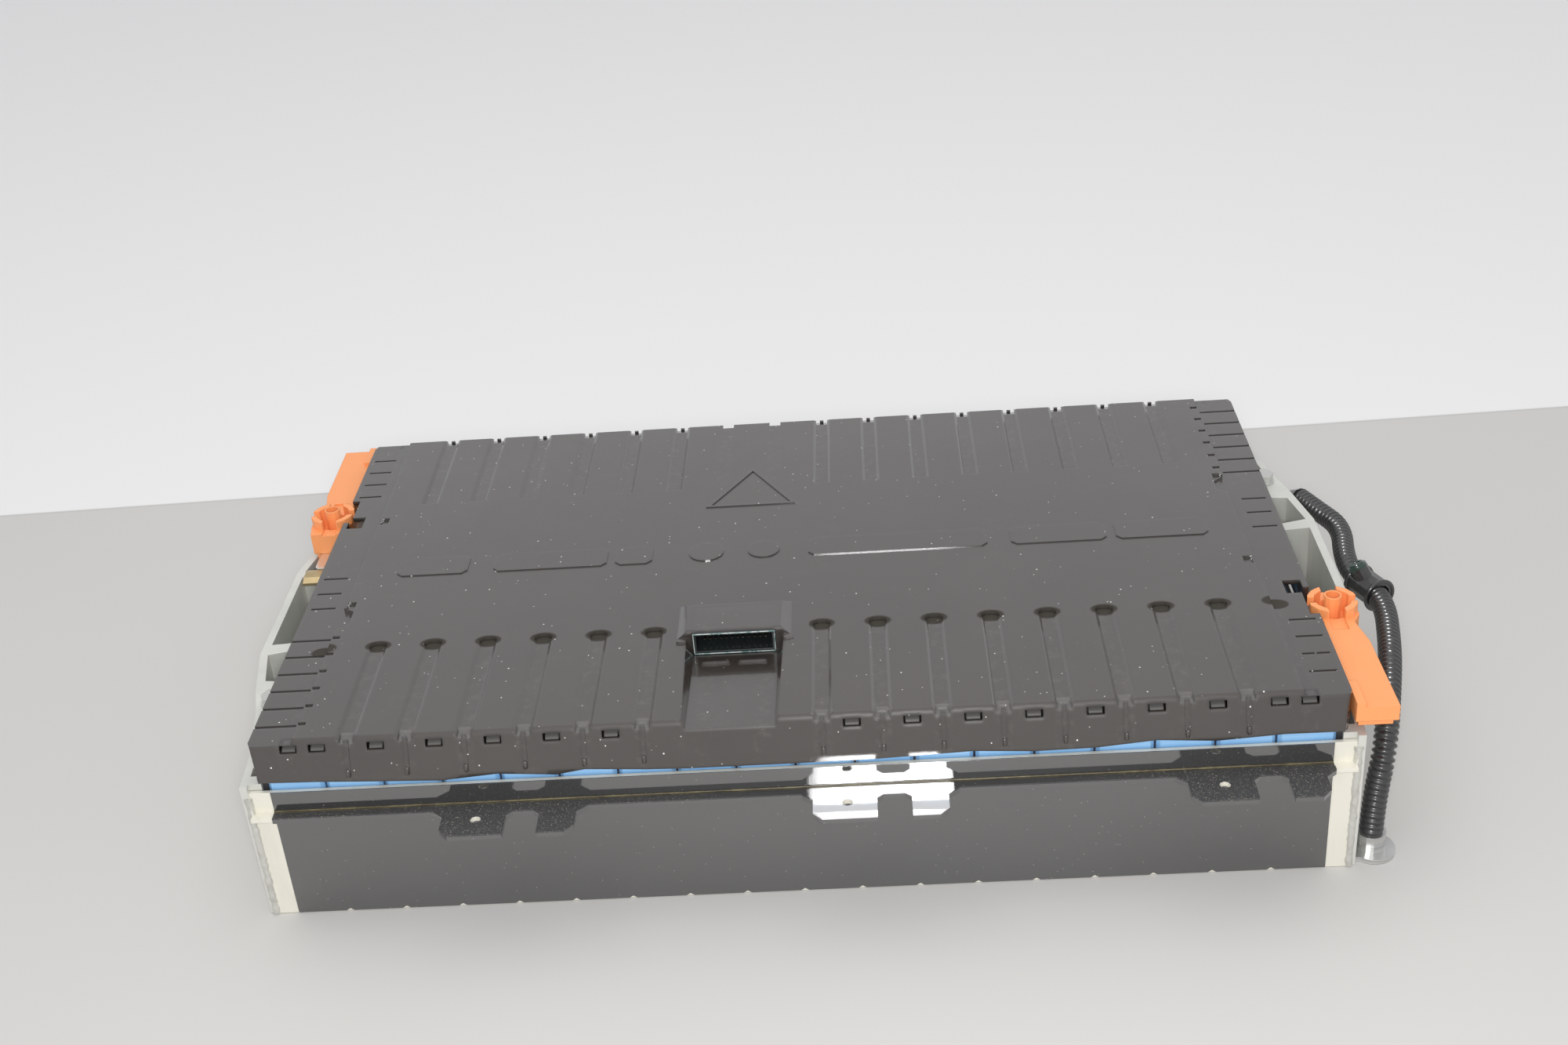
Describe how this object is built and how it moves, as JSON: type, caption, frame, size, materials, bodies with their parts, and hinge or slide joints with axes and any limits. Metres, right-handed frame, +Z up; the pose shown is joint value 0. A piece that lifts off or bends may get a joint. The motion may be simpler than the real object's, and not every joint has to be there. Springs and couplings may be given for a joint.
{
  "type": "ev battery module",
  "caption": "Traction battery module: prismatic cells in one row, folded side plates with tabs, bowed end plates, plastic cover, low-voltage socket, orange terminal guards.",
  "frame": {"origin": "on the base plane, at the middle of the row of cells and of the module's depth", "axes": "+X along the row of cells, -Y towards the side with the low-voltage socket, +Z up"},
  "size_m": [0.5974, 0.3684, 0.1046],
  "materials": {
    "cover_plastic": "satin moulded plastic",
    "side_alloy": "bare rolled",
    "end_alloy": "bare extruded",
    "black_film": "glossy film",
    "liner": "matt sheet",
    "cell_film": "blue insulating film",
    "foam": "matt foam",
    "carrier": "satin moulded plastic",
    "bus_aluminium": "satin",
    "copper": "bright copper",
    "orange_plastic": "satin moulded plastic",
    "steel": "plated",
    "socket_plastic": "satin moulded plastic",
    "tin": "plated contact",
    "bronze": "sprung strip",
    "conduit_plastic": "corrugated plastic",
    "sleeve_alloy": "turned"
  },
  "bodies": {
    "root": {"base_sheet": "liner", "cell_01": "cell_film", "cell_02": "cell_film", "cell_03": "cell_film", "cell_04": "cell_film", "cell_05": "cell_film", "cell_06": "cell_film", "cell_07": "cell_film", "cell_08": "cell_film", "cell_09": "cell_film", "cell_10": "cell_film", "cell_11": "cell_film", "cell_12": "cell_film", "cell_13": "cell_film", "cell_14": "cell_film", "cell_15": "cell_film", "cell_16": "cell_film", "cell_17": "cell_film", "cell_18": "cell_film", "cell_links": "bus_aluminium", "cell_pads": "foam", "conduit": "conduit_plastic", "conduit_boot": "conduit_plastic", "conduit_sleeve": "sleeve_alloy", "conduit_tee": "conduit_plastic", "contact_carrier": "carrier", "contact_plate": "bus_aluminium", "contact_strip": "bronze", "cover": "cover_plastic", "end_bolts": "steel", "end_insulator_left": "liner", "end_insulator_right": "liner", "end_plate_left": "end_alloy", "end_plate_right": "end_alloy", "side_film_back": "black_film", "side_film_front": "black_film", "side_liner_back": "liner", "side_liner_front": "liner", "side_plate_back": "side_alloy", "side_plate_front": "side_alloy", "socket_pins": "tin", "socket_shell": "socket_plastic", "terminal_bar_left": "copper", "terminal_bar_right": "copper", "terminal_base_left": "orange_plastic", "terminal_base_right": "orange_plastic", "terminal_cover_left": "orange_plastic", "terminal_cover_right": "orange_plastic", "terminal_studs": "steel"}
  },
  "joints": []
}
